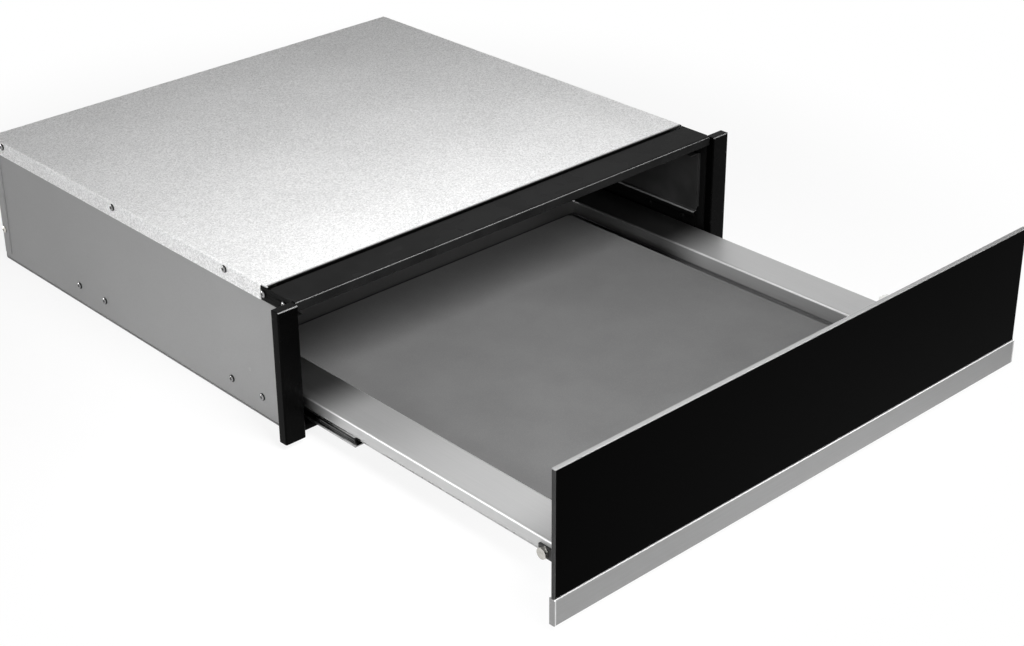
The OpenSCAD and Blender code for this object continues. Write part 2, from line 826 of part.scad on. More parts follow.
// Fan motor on the duct's back, with its shaft through to the impeller
module fan_motor() {
    y0 = liner_back_y + sheet_t + duct_d;
    plate = 2 * motor_r + flange_w;
    rib_w = motor_r / 4;
    color([0.3, 0.31, 0.33]) {
        difference() {
            union() {
                run_y(y0, y0 + frame_t) translate([0, fan_z]) square([plate, motor_r * 1.4], center = true);
                translate([0, y0, fan_z]) along_y() cylinder(motor_l, motor_r, motor_r);
            }
            for (a = [0:45:315]) translate([0, y0 + motor_l - sheet_t, fan_z]) rotate([0, a, 0])
                translate([motor_r * 0.6, 0, 0])
                    cube([rib_w * 1.6, 2 * sheet_t + cut, sheet_t], center = true);
        }
        translate([0, fan_y + fan_d / 3, fan_z]) along_y() cylinder(y0 - fan_y, shaft_r, shaft_r);
    }
}

// Radial impeller with curved blades on a back plate
module fan_impeller() {
    blade_arc_r = fan_r * 0.5;
    blade_in_r = fan_r * 0.58;
    color([0.6, 0.61, 0.62]) translate([0, fan_y, fan_z]) rotate([-90, 0, 0]) difference() {
        union() {
            translate([0, 0, fan_d - sheet_t]) cylinder(sheet_t, fan_r, fan_r);
            cylinder(fan_d, hub_r, hub_r);
            linear_extrude(fan_d - sheet_t / 2) for (k = [0:fan_blades - 1]) rotate(k * 360 / fan_blades)
                intersection() {
                    translate([(fan_r + blade_in_r) / 2, -blade_arc_r]) difference() {
                        circle(blade_arc_r);
                        circle(blade_arc_r - duct_t);
                    }
                    difference() {
                        circle(fan_r);
                        circle(blade_in_r);
                    }
                    square(fan_r);
                }
        }
        translate([0, 0, -cut]) cylinder(fan_d + 2 * cut, shaft_r + fit, shaft_r + fit);
    }
}

// Disc thermostat that cuts the heater out
module thermal_cutout() {
    y0 = liner_back_y + sheet_t + duct_d;
    disc_r = 8;
    ear_l = 32;
    tab_w = 6.3;
    color(dark_plastic) translate([-duct_w / 5, y0, fan_z]) {
        rotate([90, 0, 0]) translate([0, 0, -sheet_t]) linear_extrude(sheet_t) slot(ear_l, disc_r);
        along_y() cylinder(disc_r, disc_r, disc_r);
        for (x = [-1, 1]) translate([x * disc_r / 2 - duct_t / 2, disc_r - sheet_t, -tab_w / 2])
            cube([duct_t, disc_r * 0.7, tab_w]);
    }
}

// Three-way terminal block on the case's floor
module terminal_block() {
    pitch = 10;
    poles = 3;
    block_d = 12.5;
    block_h = 18;
    x0 = gland_x + flange_w;
    y0 = rear_y - 5 * sheet_t - block_d;
    color([0.86, 0.86, 0.82]) difference() {
        block([x0, y0, sheet_t], [x0 + pitch * poles + 2 * sheet_t, y0 + block_d, sheet_t + block_h]);
        for (k = [0:poles - 1], end = [0, 1]) {
            x = x0 + sheet_t + pitch * (k + 0.5);
            translate([x, y0 + block_d * (0.25 + 0.5 * end), block_h / 2])
                cylinder(block_h, pitch / 4, pitch / 4);
            translate([x, y0 + block_d * end, sheet_t + block_h / 4]) along_y()
                cylinder(block_d / 2, pitch / 5, pitch / 5, center = true);
        }
    }
}

// Grommet that carries the mains cable through the rear panel
module cable_gland() {
    y0 = rear_y;
    y1 = rear_y + sheet_t;
    lip = 3 * sheet_t;
    nut_l = 4 * sheet_t;
    color(dark_plastic) translate([gland_x, 0, gland_z]) difference() {
        union() {
            translate([0, y1, 0]) along_y() cylinder(lip, gland_hole_r + lip, gland_hole_r + lip / 2);
            translate([0, y0 - nut_l, 0]) along_y()
                cylinder(nut_l + lip, gland_hole_r - fit, gland_hole_r - fit);
            translate([0, y0 - nut_l, 0]) along_y()
                cylinder(nut_l, gland_hole_r + lip / 2, gland_hole_r + lip / 2, $fn = 6);
        }
        translate([0, y0 - nut_l - cut, 0]) along_y() cylinder(nut_l + 2 * lip + 2 * cut, cord_r, cord_r);
    }
}

// Catch: an open moulding on the floor, a swinging hook, and the striker under the tray
module catch_housing() {
    y1 = front_y + striker_y + catch_l / 2;
    y0 = y1 - catch_l;
    wall = 2 * sheet_t;
    z0 = sheet_t;
    floor_z = z0 + wall;
    way = striker_r + wall;
    color(dark_plastic) {
        block([-catch_w / 2, y0, z0], [catch_w / 2, y1, floor_z]);
        difference() {
            block([-catch_w / 2, y0, floor_z], [-way, y1, z0 + catch_h]);
            block(
                [-catch_w / 2 + wall, y0 + wall, floor_z + wall],
                [-way - wall, y1 - 2 * wall, z0 + catch_h + cut]
            );
        }
        block([catch_w / 2 - wall, y0, floor_z], [catch_w / 2, y1, z0 + catch_h]);
        block([-way - wall, y1 - wall, floor_z], [catch_w / 2, y1, z0 + catch_h]);
        translate([hook_x, hook_y, 0]) run_z(floor_z - sheet_t, floor_z + 2 * hook_post_r + hook_t)
            circle(hook_post_r);
    }
}

// The hook rests swung clear of the striker's way and turns by hook_swing to hold it
module catch_hook() {
    eye_r = hook_post_r + 2 * sheet_t;
    reach = hook_x + striker_r / 2;
    tooth_w = 3 * sheet_t;
    tooth_y = -2 - striker_r - gap - press_in / 2;
    color(zinc) translate([hook_x, hook_y, 0]) rotate([0, 0, hook_swing])
        run_z(hook_z, hook_z + hook_t) difference() {
            union() {
                circle(eye_r);
                translate([-eye_r, tooth_y - tooth_w]) square([eye_r, tooth_w - tooth_y]);
                translate([-reach, tooth_y - tooth_w]) square([reach, tooth_w]);
                translate([-reach, tooth_y - tooth_w / 2]) circle(tooth_w / 2);
            }
            circle(hook_post_r + fit);
        }
}

module catch_striker() {
    plate_w = 3 * flange_w;
    plate_l = 1.6 * flange_w;
    y = front_y + striker_y;
    color(zinc) drawn_out(1) {
        translate([0, y, 0]) run_z(tray_z - bracket_t, tray_z) slot(plate_w, plate_l);
        translate([0, y, 0]) run_z(hook_z - 2 * sheet_t, tray_z - bracket_t / 2) circle(striker_r);
    }
}

// Runner brackets: two angles a side, with pips that locate the cabinet member
module runner_brackets() {
    x0 = runner_x - rail_w / 2;
    x1 = half_w - sheet_t;
    z0 = rail_z - bracket_t;
    path = [[x0, z0], [x1, z0], [x1, bracket_top]];
    color(zinc) {
        difference() {
            for (share = bracket_shares)
                run_y(bracket_y(share) - bracket_l / 2, bracket_y(share) + bracket_l / 2)
                    polygon(folded(path, bracket_t, bend_r));
            translate([x1, 0, 0]) bracket_screw_places() along_x()
                cylinder(4 * cut, screw_hole_r, screw_hole_r, center = true);
        }
        for (share = bracket_shares, pip = pip_shares)
            translate([runner_x, bracket_y(share) + pip * bracket_l, 0])
                run_z(rail_z - bracket_t / 2, rail_z + rail_t) circle(pip_r);
    }
}

module left_runner_brackets() on_left() runner_brackets();
module right_runner_brackets() runner_brackets();

// Arc of points, and a half section closed by its mirror image
function arc(c, r, a0, a1) = [for (k = [0:race_steps])
    let (a = a0 + (a1 - a0) * k / race_steps) c + r * [cos(a), sin(a)]];
function with_mirror(half) = concat(half, [for (i = [len(half) - 1:-1:0]) [-half[i][0], half[i][1]]]);

module runner_cabinet_member() {
    wall_x = low_ball_x + race_in;
    ball = [low_ball_x, low_ball_z];
    half = concat(
        [[wall_x, rail_z + rail_t]],
        arc(ball, race_r, -grip_a, grip_a),
        arc(ball, race_r + rail_t, grip_a, -wall_a),
        [[wall_x + rail_t, rail_z]]
    );
    color(zinc) translate([runner_x, 0, 0]) difference() {
        union() {
            run_y(rail_y, rail_y + rail_l) polygon(with_mirror(half));
            block(
                [-low_ball_x / 2, rail_y + rail_l - stop_t, rail_z + rail_t / 2],
                [low_ball_x / 2, rail_y + rail_l - fit, low_ball_z]
            );
        }
        for (share = bracket_shares, pip = pip_shares)
            translate([0, bracket_y(share) + pip * bracket_l, rail_z])
                cylinder(4 * cut, pip_r + fit, pip_r + fit, center = true);
    }
}

module runner_middle_member() {
    wall_x = low_ball_x - race_in - rail_t;
    low_ball = [low_ball_x, low_ball_z];
    top_ball = [top_ball_x, top_ball_z];
    half = concat(
        [[wall_x + rail_t, mid_z]],
        arc(low_ball, race_r, 180 + grip_a, 180 - grip_a),
        arc(top_ball, race_r + rail_t, -wall_a, grip_a),
        arc(top_ball, race_r, grip_a, -grip_a),
        arc(low_ball, race_r + rail_t, 180 - wall_a, 180 + wall_a),
        [[wall_x, mid_z + rail_t]]
    );
    window_l = 3 * rail_w;
    color(steel) drawn_out(0.5) translate([runner_x, 0, 0]) difference() {
        run_y(mid_y, mid_y + mid_l) polygon(with_mirror(half));
        for (share = [0.3, 0.7]) translate([0, mid_y + mid_l * share, mid_z]) rotate([0, 0, 90])
            run_z(-cut, 2 * cut) slot(window_l, low_ball_x / 2);
    }
}

module runner_drawer_member() {
    wall_x = top_ball_x - race_in - rail_t;
    ball = [top_ball_x, top_ball_z];
    half = concat(
        [[wall_x + rail_t, runner_top]],
        arc(ball, race_r, 180 - grip_a, 180 + grip_a),
        arc(ball, race_r + rail_t, 180 + grip_a, 180 - slide_a)
    );
    color(steel) drawn_out(1) translate([runner_x, 0, 0]) {
        run_y(slide_y, slide_y + slide_l) polygon(with_mirror(half));
        for (share = slide_pip_shares) translate([0, slide_y + slide_l * share, 0])
            run_z(runner_top - rail_t / 2, runner_top + tray_t) circle(pip_r);
    }
}

module left_runner_cabinet_member() on_left() runner_cabinet_member();
module right_runner_cabinet_member() runner_cabinet_member();
module left_runner_middle_member() on_left() runner_middle_member();
module right_runner_middle_member() runner_middle_member();
module left_runner_drawer_member() on_left() runner_drawer_member();
module right_runner_drawer_member() runner_drawer_member();

// Ball cage: a channel with a hole for each ball, and the balls themselves
module ball_cage(ball_x, ball_z, web_z, y0, l, balls) {
    pitch = l / balls;
    hole_r = ball_r + play / 2;
    wall_x = ball_x - cage_t / 2;
    difference() {
        run_y(y0, y0 + l) both_sides() {
            translate([0, web_z]) square([wall_x + cage_t, cage_t]);
            translate([wall_x, web_z]) square([cage_t, ball_z + ball_r + play - web_z]);
        }
        for (k = [0:balls - 1]) translate([0, y0 + pitch * (k + 0.5), ball_z])
            along_x() cylinder(4 * ball_x, hole_r, hole_r, center = true);
        for (k = [1:balls - 1]) translate([0, y0 + pitch * k, web_z])
            run_z(-cut, cut) slot(ball_x, pitch / 3);
    }
    for (side = [-1, 1], k = [0:balls - 1])
        translate([side * ball_x, y0 + pitch * (k + 0.5), ball_z]) sphere(ball_r);
}

module lower_ball_cage()
    color(steel) drawn_out(0.25) translate([runner_x, 0, 0])
        ball_cage(low_ball_x, low_ball_z, rail_z + rail_t + play, low_cage_y, low_cage_l, low_balls);

module upper_ball_cage()
    color(steel) drawn_out(0.75) translate([runner_x, 0, 0])
        ball_cage(top_ball_x, top_ball_z, cage_web_z, top_cage_y, top_cage_l, top_balls);

module left_lower_ball_cage() on_left() lower_ball_cage();
module right_lower_ball_cage() lower_ball_cage();
module left_upper_ball_cage() on_left() upper_ball_cage();
module right_upper_ball_cage() upper_ball_cage();

// Tray: one folded sheet with side flanges, drops and returns, closed by two end walls
module tray() {
    inner = tray_w / 2;
    floor_top = tray_z + tray_t;
    return_x = tray_half - return_w;
    ear_y0 = bolt_y - flange_w * 1.1;
    ear_y1 = bolt_y + flange_w * 0.5;
    half_path = [
        [return_x, runner_top],
        [tray_half, runner_top],
        [tray_half, rim_z],
        [inner, rim_z],
        [inner, floor_top]
    ];
    path = concat(half_path, [for (i = [len(half_path) - 1:-1:0]) [-half_path[i][0], half_path[i][1]]]);
    color(steel) drawn_out(1) difference() {
        union() {
            run_y(tray_y, tray_y + tray_l) polygon(folded(path, tray_t, tray_bend_r));
            for (y = [tray_y, tray_y + tray_l - tray_t])
                block(
                    [-inner - tray_t / 2, y, tray_z + tray_t / 2],
                    [inner + tray_t / 2, y + tray_t, rim_z]
                );
            both_sides() block(
                [tray_half - tray_t, ear_y0, front_plate_z],
                [tray_half, ear_y1, runner_top + 2 * tray_t]
            );
        }
        both_sides() hole_x(tray_half + flange_w, bolt_y, bolt_z, bolt_r + fit);
        both_sides() block(
            [tray_half - tray_t - nut_h - sheet_t, bolt_y - bolt_flats * 0.8, runner_top - cut],
            [tray_half - tray_t, bolt_y + bolt_flats * 0.8, runner_top + tray_t + tray_bend_r]
        );
        both_sides() for (share = slide_pip_shares)
            translate([runner_x, slide_y + slide_l * share, runner_top])
                cylinder(4 * cut, pip_r + fit, pip_r + fit, center = true);
    }
}

module mat() {
    x1 = tray_w / 2 - mat_gap;
    y0 = tray_y + mat_gap;
    y1 = tray_y + tray_l - mat_gap / 3;
    color(rubber) drawn_out(1) run_z(tray_z + tray_t, tray_z + tray_t + mat_t) {
        block_r = mat_gap / 2;
        translate([-x1 + block_r, y0]) square([2 * (x1 - block_r), y1 - y0]);
        translate([-x1, y0 + block_r]) square([2 * x1, y1 - y0 - 2 * block_r]);
        for (x = [-x1 + block_r, x1 - block_r], y = [y0 + block_r, y1 - block_r]) translate([x, y])
            circle(block_r);
    }
}

// Carrier: a steel pan behind the glass, and the inner panel that closes it
module front_carrier() {
    x1 = carrier_w / 2;
    z1 = carrier_z + carrier_h;
    plate_z0 = front_z + 3 * sheet_t;
    plate_z1 = glass_z + glass_h - 5 * sheet_t;
    path = [
        [carrier_back_y, z1],
        [glass_back_y, z1],
        [glass_back_y, carrier_z],
        [carrier_back_y, carrier_z]
    ];
    color(galvanised) drawn_out(1) difference() {
        union() {
            run_x(-x1, x1) polygon(folded(path, sheet_t, bend_r));
            block([-x1, glass_back_y, plate_z0], [x1, glass_back_y + sheet_t, plate_z1]);
            both_sides() block([x1 - sheet_t, glass_back_y, carrier_z], [x1, carrier_back_y, z1]);
        }
        carrier_screw_places() cylinder(4 * cut, screw_hole_r, screw_hole_r, center = true);
    }
}

module carrier_screw_places() {
    for (side = [-1, 1], x = [0.25, 0.75])
        translate([side * (tray_half - return_w * x), tray_y, front_leg_z + 1.55 * screw_head_r])
            along_y() children();
}

module front_inner_panel() {
    x1 = carrier_w / 2;
    color(steel) drawn_out(1) difference() {
        block([-x1, carrier_back_y, carrier_z], [x1, tray_y, carrier_z + carrier_h]);
        carrier_screw_places() cylinder(4 * cut, screw_hole_r, screw_hole_r, center = true);
    }
}

module front_glass() {
    x1 = front_w / 2;
    y0 = glass_back_y - glass_t;
    c = glass_chamfer;
    color(black_glass) drawn_out(1) intersection() {
        run_x(-x1, x1) translate([0, glass_z]) polygon([
            [y0 + c, 0], [glass_back_y, 0], [glass_back_y, glass_h], [y0 + c, glass_h], [y0, glass_h - c], [y0, c]
        ]);
        run_z(glass_z, glass_z + glass_h) polygon([
            [-x1, glass_back_y], [-x1, y0 + c], [-x1 + c, y0], [x1 - c, y0], [x1, y0 + c], [x1, glass_back_y]
        ]);
    }
}

// Trim: a folded stainless channel below the glass, its ends closed
module front_trim() {
    x1 = front_w / 2 + sheet_t;
    y0 = glass_back_y - glass_t - trim_out;
    path = [
        [glass_back_y, glass_z],
        [y0, glass_z],
        [y0, front_z],
        [y0 + trim_d, front_z]
    ];
    color(steel) drawn_out(1) {
        run_x(-x1 + sheet_t / 2, x1 - sheet_t / 2) polygon(folded(path, sheet_t, bend_r / 2));
        both_sides() run_x(x1 - sheet_t, x1) polygon([
            [y0 + bend_r, front_z],
            [y0 + trim_d, front_z],
            [y0 + trim_d, glass_z],
            [y0 + bend_r, glass_z],
            [y0, glass_z - bend_r],
            [y0, front_z + bend_r]
        ]);
    }
}

// Bracket that ties the tray's flange to the carrier
module front_bracket() {
    color([0.2, 0.2, 0.21]) drawn_out(1) difference() {
        union() {
            block(
                [tray_half, tray_y, front_plate_z],
                [tray_half + front_plate_t, tray_y + front_plate_l, front_plate_z + front_plate_h]
            );
            block(
                [tray_half - return_w, tray_y, front_leg_z],
                [tray_half + front_plate_t, tray_y + front_plate_t, runner_top]
            );
        }
        hole_x(tray_half + flange_w, bolt_y, bolt_z, bolt_r + fit);
        carrier_screw_places() cylinder(4 * cut, screw_hole_r, screw_hole_r, center = true);
    }
}

module left_front_bracket() on_left() front_bracket();
module right_front_bracket() front_bracket();

module front_bolts() {
    hex_r = bolt_flats / 2 / cos(30);
    x = tray_half + front_plate_t;
    color(steel) drawn_out(1) both_sides() translate([0, bolt_y, bolt_z]) {
        translate([x, 0, 0]) along_x() intersection() {
            cylinder(bolt_head_h, hex_r, hex_r, $fn = 6);
            cylinder(bolt_head_h, hex_r * 1.2, bolt_flats / 2);
        }
        translate([tray_half - tray_t - nut_h, 0, 0]) along_x()
            cylinder(nut_h + 2 * front_plate_t, bolt_r, bolt_r);
        translate([tray_half - tray_t - nut_h, 0, 0]) along_x() difference() {
            cylinder(nut_h, hex_r, hex_r, $fn = 6);
            translate([0, 0, -cut]) cylinder(nut_h + 2 * cut, bolt_r + fit, bolt_r + fit);
        }
    }
}

// Thin rubber buffers on the back of the glass, in front of the posts
module front_bumpers() {
    buffer_r = post_w / 4;
    buffer_t = shut_gap - press_in - gap;
    color(rubber) drawn_out(1) for (x = [-1, 1], z = [0.3, 0.85])
        translate([x * (half_w + post_w / 2), glass_back_y, glass_z + glass_h * z]) along_y()
            cylinder(buffer_t, buffer_r, buffer_r * 0.85);
}

// Control housing on the inner panel: an open-backed moulding with the controls in its top
module control_housing() {
    edge_r = 6;
    module outline(w, d, r) {
        square([w, d - r]);
        translate([r, 0]) square([w - 2 * r, d]);
        for (x = [r, w - r]) translate([x, d - r]) circle(r);
    }
    color(dark_plastic) drawn_out(1) difference() {
        translate([control_x, tray_y, 0]) run_z(control_z, control_top)
            outline(control_w, control_d, edge_r);
        translate([control_x + control_t, tray_y - cut, 0])
            run_z(control_z + control_t, control_top - control_t)
                outline(control_w - 2 * control_t, control_d - control_t + cut, edge_r - control_t);
        translate([knob_x, control_mid_y, control_top])
            cylinder(4 * control_t, bush_out_r + fit, bush_out_r + fit, center = true);
        translate([lamp_x, control_mid_y, control_top])
            cylinder(4 * control_t, lamp_r + fit, lamp_r + fit, center = true);
        translate([rocker_x, control_mid_y, control_top])
            cube([switch_w + 2 * fit, switch_d + 2 * fit, 4 * control_t], center = true);
    }
}

module thermostat() {
    body_w = 26;
    body_h = 18;
    z1 = control_top - control_t;
    color(zinc) drawn_out(1) translate([knob_x, control_mid_y, 0]) difference() {
        union() {
            translate([-body_w / 2, -body_w / 2, z1 - body_h]) cube([body_w, body_w, body_h]);
            run_z(z1 - control_t, control_top + bush_h) circle(bush_out_r);
            translate([0, 0, z1 - body_h - control_t]) cylinder(control_t, body_w / 3, body_w / 3);
        }
        run_z(z1 - body_h / 2, control_top + bush_h + cut) circle(stem_r + fit);
    }
}

// Knob with a fluted grip and a stem that turns in the thermostat's bush
module thermostat_knob() {
    z0 = control_top + bush_h + play;
    skirt_h = 2 * sheet_t;
    flutes = 16;
    flute_r = knob_r * 0.09;
    stem_z = control_top - 4 * control_t;
    color([0.15, 0.15, 0.16]) drawn_out(1) translate([knob_x, control_mid_y, 0]) {
        translate([0, 0, z0]) cylinder(skirt_h, knob_r, knob_r * 0.94);
        run_z(z0 + skirt_h / 2, z0 + knob_h) difference() {
            circle(knob_r * 0.82);
            for (k = [0:flutes - 1]) rotate(k * 360 / flutes) translate([knob_r * 0.84, 0]) circle(flute_r);
        }
        translate([0, -knob_r * 0.42, z0 + knob_h])
            cube([sheet_t, knob_r * 0.5, sheet_t / 2], center = true);
        run_z(stem_z, z0 + sheet_t) circle(stem_r);
    }
}

// Frame that carries the rocker on two pin holes
module switch_frame() {
    color(dark_plastic) drawn_out(1) translate([rocker_x, control_mid_y, 0]) difference() {
        union() {
            translate([-switch_w / 2, -switch_d / 2, control_top - switch_h])
                cube([switch_w, switch_d, switch_h + sheet_t / 2]);
            translate([-switch_w / 2 - bezel, -switch_d / 2 - bezel, control_top])
                cube([switch_w + 2 * bezel, switch_d + 2 * bezel, bezel_t + rocker_pin_r]);
        }
        translate([-switch_w / 2 + bezel, -switch_d / 2 + bezel, control_top - switch_h / 2])
            cube([switch_w - 2 * bezel, switch_d - 2 * bezel, switch_h]);
        translate([0, 0, rocker_z]) along_x()
            cylinder(switch_w + cut, rocker_pin_r + fit, rocker_pin_r + fit, center = true);
    }
}

// Rocker, resting in its off position, half its travel one way
module power_rocker() {
    w = switch_w - 2 * bezel - 2 * play;
    half_d = switch_d / 2 - bezel - 3 * play;
    pad_h = 3.2;
    dish = 1.2;
    color([0.2, 0.2, 0.21]) drawn_out(1) translate([rocker_x, control_mid_y, rocker_z])
        rotate([rocker_a / 2, 0, 0]) {
        run_x(-w / 2, w / 2) polygon([
            [-half_d, 0], [-half_d / 2, -2 * sheet_t], [half_d / 2, -2 * sheet_t], [half_d, 0],
            [half_d, pad_h], [0, pad_h - dish], [-half_d, pad_h]
        ]);
        along_x() cylinder(w + bezel * 1.2, rocker_pin_r, rocker_pin_r, center = true);
    }
}

module lamp_lens() {
    color([0.9, 0.35, 0.1]) drawn_out(1) translate([lamp_x, control_mid_y, 0]) {
        run_z(control_top - 2 * control_t, control_top + sheet_t) circle(lamp_r);
        translate([0, 0, control_top]) cylinder(sheet_t, lamp_r * 1.4, lamp_r);
    }
}

// Fasteners, each group of like screws in one node
module cover_screws() {
    color(zinc) {
        both_sides() for (share = cover_screw_shares)
            side_screw(half_w + sheet_t, cover_screw_y(share), cover_screw_z, flange_w * 0.6);
        for (share = rear_top_screw_shares)
            rear_screw(share * half_w, rear_y + 2 * sheet_t, case_h - flange_w / 2, flange_w * 0.6);
    }
}

module frame_screws() {
    color(zinc) {
        both_sides() for (share = tab_screw_shares)
            side_screw(half_w + frame_t, front_y + tab_l * share, tab_screw_z, flange_w * 0.4);
        for (share = sill_screw_shares)
            translate([share * half_w, front_y + (floor_set + sill_d) / 2, sill_top])
                sheet_screw(flange_w * 0.4);
    }
}

module post_screws() {
    color(zinc) both_sides() for (share = post_screw_shares)
        rear_screw(half_w + post_w / 2, front_y, post_screw_z(share), post_d - frame_t);
}

module side_screws() {
    color(zinc) both_sides() translate([half_w, 0, 0]) bracket_screw_places() along_x()
        sheet_screw(sheet_t + bracket_t * 1.5);
}

module rear_screws() {
    color(zinc) both_sides() for (share = wrap_screw_shares)
        side_screw(half_w + sheet_t, rear_y - wrap_w / 3, wrap_screw_z(share), flange_w * 0.4);
}

// Screws through the liner walls, each with a spacer bush to the side panel
module liner_screws() {
    bush_l = liner_gap - sheet_t;
    color(zinc) both_sides() for (share = liner_screw_shares)
        translate([liner_x, liner_screw_y(share), liner_screw_z]) {
            translate([-sheet_t, 0, 0]) mirror([1, 0, 0]) along_x() sheet_screw(liner_gap + sheet_t);
            along_x() difference() {
                cylinder(bush_l, bush_r, bush_r);
                translate([0, 0, -cut]) cylinder(bush_l + 2 * cut, screw_hole_r, screw_hole_r);
            }
        }
}

module carrier_screws() {
    color(zinc) drawn_out(1) translate([0, front_plate_t, 0]) carrier_screw_places()
        sheet_screw(carrier_d * 0.6);
}

base_panel();
left_side_panel();
right_side_panel();
top_cover();
rear_panel();
frame_top_beam();
frame_sill();
left_post();
right_post();
left_liner_wall();
right_liner_wall();
liner_ceiling();
liner_back();
insulation_mat();
air_duct();
heater_ring();
fan_motor();
fan_impeller();
thermal_cutout();
terminal_block();
cable_gland();
catch_housing();
catch_hook();
catch_striker();
left_runner_brackets();
right_runner_brackets();
left_runner_cabinet_member();
right_runner_cabinet_member();
left_runner_middle_member();
right_runner_middle_member();
left_lower_ball_cage();
right_lower_ball_cage();
left_upper_ball_cage();
right_upper_ball_cage();
left_runner_drawer_member();
right_runner_drawer_member();
tray();
mat();
front_carrier();
front_inner_panel();
front_glass();
front_trim();
left_front_bracket();
right_front_bracket();
front_bolts();
front_bumpers();
control_housing();
thermostat();
thermostat_knob();
switch_frame();
power_rocker();
lamp_lens();
cover_screws();
frame_screws();
post_screws();
side_screws();
rear_screws();
liner_screws();
carrier_screws();
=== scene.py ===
"""Finishes, light, floor and camera for the built-in warming drawer."""

import math

import bmesh
import bpy
from mathutils import Matrix, Vector


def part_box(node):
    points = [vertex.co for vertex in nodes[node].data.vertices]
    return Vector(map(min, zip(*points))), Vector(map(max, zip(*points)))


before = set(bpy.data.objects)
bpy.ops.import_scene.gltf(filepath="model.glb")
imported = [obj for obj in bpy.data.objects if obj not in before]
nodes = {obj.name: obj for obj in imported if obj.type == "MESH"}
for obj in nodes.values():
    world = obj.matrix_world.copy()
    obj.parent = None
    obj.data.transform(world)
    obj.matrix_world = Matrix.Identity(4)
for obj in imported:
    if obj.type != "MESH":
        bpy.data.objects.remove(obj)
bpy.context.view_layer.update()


# Camera, fitted to the corners of the case, frame and front

PHOTO_WIDTH = 1024
FOCAL_PIXELS = 1944.7
CENTRE_OFFSET = (-65.1, -34.6)
CAMERA_PLACE = (-1.13636, -1.46965, 0.90337)
CAMERA_RIGHT = Vector((0.749589, -0.661557, -0.021422))
CAMERA_DOWN = Vector((-0.314261, -0.327222, -0.891160))
CAMERA_AHEAD = Vector((0.582543, 0.674736, -0.453183))


def make_camera():
    lens = bpy.data.cameras.new("camera")
    lens.sensor_width = 36
    lens.lens = FOCAL_PIXELS * lens.sensor_width / PHOTO_WIDTH
    lens.shift_x = -CENTRE_OFFSET[0] / PHOTO_WIDTH
    lens.shift_y = CENTRE_OFFSET[1] / PHOTO_WIDTH
    lens.clip_start, lens.clip_end = 0.05, 60
    camera = bpy.data.objects.new("camera", lens)
    bpy.context.scene.collection.objects.link(camera)
    turn = Matrix((CAMERA_RIGHT, -CAMERA_DOWN, -CAMERA_AHEAD)).transposed()
    camera.matrix_world = Matrix.Translation(CAMERA_PLACE) @ turn.to_4x4()
    bpy.context.scene.camera = camera


# Places on the object that several finishes use; HAIR is the soft edge of a sharp mask

HAIR = 0.0004
SHEET = 0.001
LINER_SET_BACK = 0.002
RIM_WIDTH = 0.0435
RIB_TOP = 0.053
CASE_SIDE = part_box("top_cover")[1].x - SHEET
CASE_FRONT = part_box("right_liner_wall")[0].y - LINER_SET_BACK
SKIN_INSIDE = (CASE_SIDE - 2 * HAIR, CASE_SIDE - HAIR)


# Shader maths: a Wire is one output socket, a Graph is one node tree, and a Finish is one material


class Wire:
    """An output socket whose arithmetic adds Math nodes to its graph."""

    def __init__(self, graph, socket):
        self.graph = graph
        self.socket = socket

    def maths(self, operation, *values):
        return self.graph.node("Math", {"operation": operation}, dict(enumerate(values)))

    def __add__(self, other):
        return self.maths("ADD", self, other)

    def __sub__(self, other):
        return self.maths("SUBTRACT", self, other)

    def __rsub__(self, other):
        return self.maths("SUBTRACT", other, self)

    def __mul__(self, other):
        return self.maths("MULTIPLY", self, other)

    __radd__ = __add__
    __rmul__ = __mul__

    def __pow__(self, other):
        return self.maths("POWER", self, other)

    def __abs__(self):
        return self.maths("ABSOLUTE", self)

    def cosine(self):
        return self.maths("COSINE", self)

    def angle_to(self, other):
        return self.maths("ARCTAN2", self, other)

    def most(self, other):
        """The greater of two values."""
        return self.maths("MAXIMUM", self, other)

    def over(self, low, high):
        """0 below low, 1 above high, and a smooth rise between them."""
        return self.graph.node(
            "MapRange",
            {"interpolation_type": "SMOOTHSTEP"},
            {"Value": self, "From Min": low, "From Max": high},
        )


class Graph:
    """A node tree, with the nodes that the finishes, the floor and the world share."""

    def __init__(self, tree):
        self.tree = tree
        tree.nodes.clear()

    def put(self, socket, value):
        if isinstance(value, Wire):
            self.tree.links.new(value.socket, socket)
        elif socket.type == "RGBA" and not hasattr(value, "__len__"):
            socket.default_value = (value, value, value, 1)
        else:
            socket.default_value = value

    def node(self, kind, settings=None, sockets=None, out=0):
        """Adds a node of this type and returns one of its outputs."""
        node = self.tree.nodes.new("ShaderNode" + kind)
        for name, value in (settings or {}).items():
            setattr(node, name, value)
        for name, value in (sockets or {}).items():
            self.put(node.inputs[name], value)
        return Wire(self, node.outputs[out])

    def axis(self, name, vector):
        return self.node("SeparateXYZ", None, {0: vector}, name)

    def background_rays(self):
        """The rays that show the background: straight, mirrored and through glass."""
        kinds = ["Is Camera Ray", "Is Glossy Ray", "Is Transmission Ray"]
        return [self.node("LightPath", out=kind) for kind in kinds]


